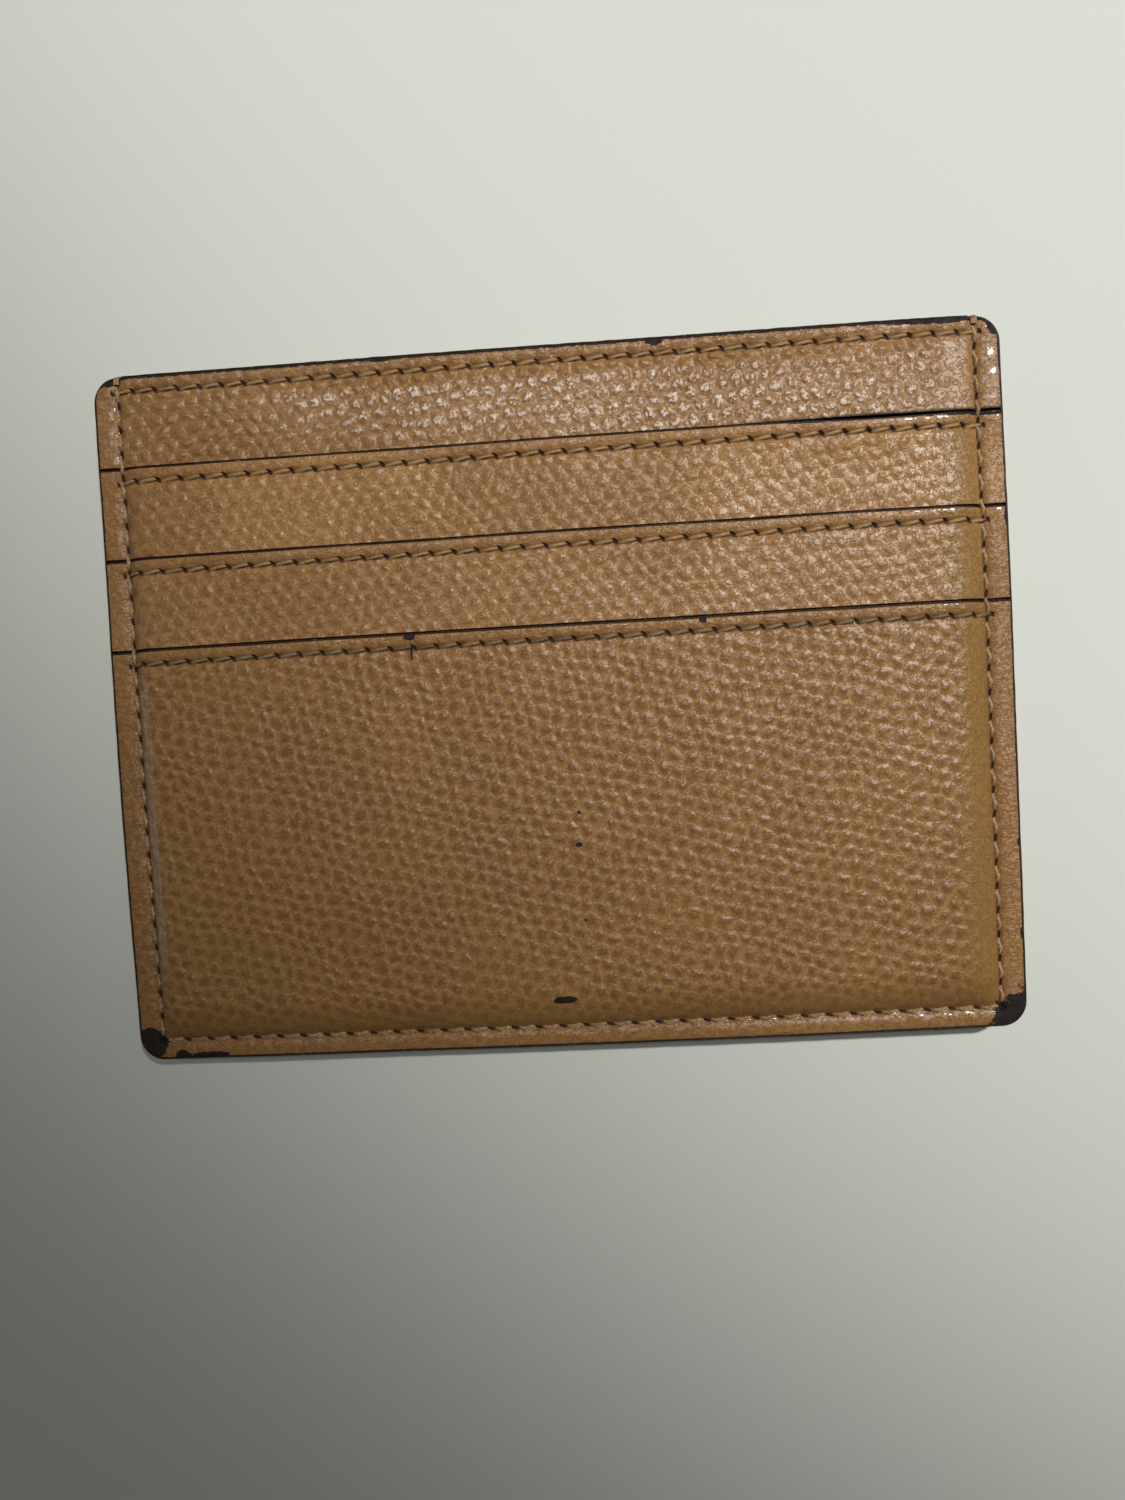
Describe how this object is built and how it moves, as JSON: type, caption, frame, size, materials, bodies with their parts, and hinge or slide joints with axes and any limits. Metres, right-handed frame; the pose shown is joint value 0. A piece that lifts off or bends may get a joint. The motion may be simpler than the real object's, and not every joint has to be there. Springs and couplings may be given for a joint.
{
  "type": "card holder",
  "caption": "Flat leather card holder with stepped card slots sewn on both sides and a centre pocket open at the top.",
  "frame": {"origin": "under the middle of the holder, on the plane its back face rests on", "axes": "+X across the card mouths, +Y towards the open top edge, +Z out of the front face"},
  "size_m": [0.098, 0.076, 0.0063],
  "materials": {
    "grained_leather": "pebble grain, semi-gloss",
    "lining": "fine woven lining",
    "stiffener": "pressed fibre board",
    "edge_paint": "dark edge paint, worn at the corners",
    "row_thread": "fine polyester thread",
    "seam_thread": "twisted polyester thread, slight sheen"
  },
  "bodies": {
    "root": {"front_top_strip": "grained_leather", "front_slot_1_strip": "grained_leather", "front_slot_2_strip": "grained_leather", "front_pocket_panel": "grained_leather", "front_centre_lining": "lining", "front_slot_1_lining": "lining", "front_slot_2_lining": "lining", "front_pocket_lining": "lining", "front_stiffener_board": "stiffener", "front_top_edge_paint": "edge_paint", "front_slot_1_edge_paint": "edge_paint", "front_slot_2_edge_paint": "edge_paint", "front_pocket_edge_paint": "edge_paint", "front_top_stitching": "row_thread", "front_slot_1_stitching": "row_thread", "front_slot_2_stitching": "row_thread", "front_pocket_stitching": "row_thread", "front_slot_1_foot_stitching": "row_thread", "front_slot_2_foot_stitching": "row_thread", "back_top_strip": "grained_leather", "back_slot_1_strip": "grained_leather", "back_slot_2_strip": "grained_leather", "back_pocket_panel": "grained_leather", "back_centre_lining": "lining", "back_slot_1_lining": "lining", "back_slot_2_lining": "lining", "back_pocket_lining": "lining", "back_stiffener_board": "stiffener", "back_top_edge_paint": "edge_paint", "back_slot_1_edge_paint": "edge_paint", "back_slot_2_edge_paint": "edge_paint", "back_pocket_edge_paint": "edge_paint", "back_top_stitching": "row_thread", "back_slot_1_stitching": "row_thread", "back_slot_2_stitching": "row_thread", "back_pocket_stitching": "row_thread", "back_slot_1_foot_stitching": "row_thread", "back_slot_2_foot_stitching": "row_thread", "seam_needle_thread": "seam_thread", "seam_bobbin_thread": "seam_thread", "rim_edge_paint": "edge_paint"}
  },
  "joints": []
}
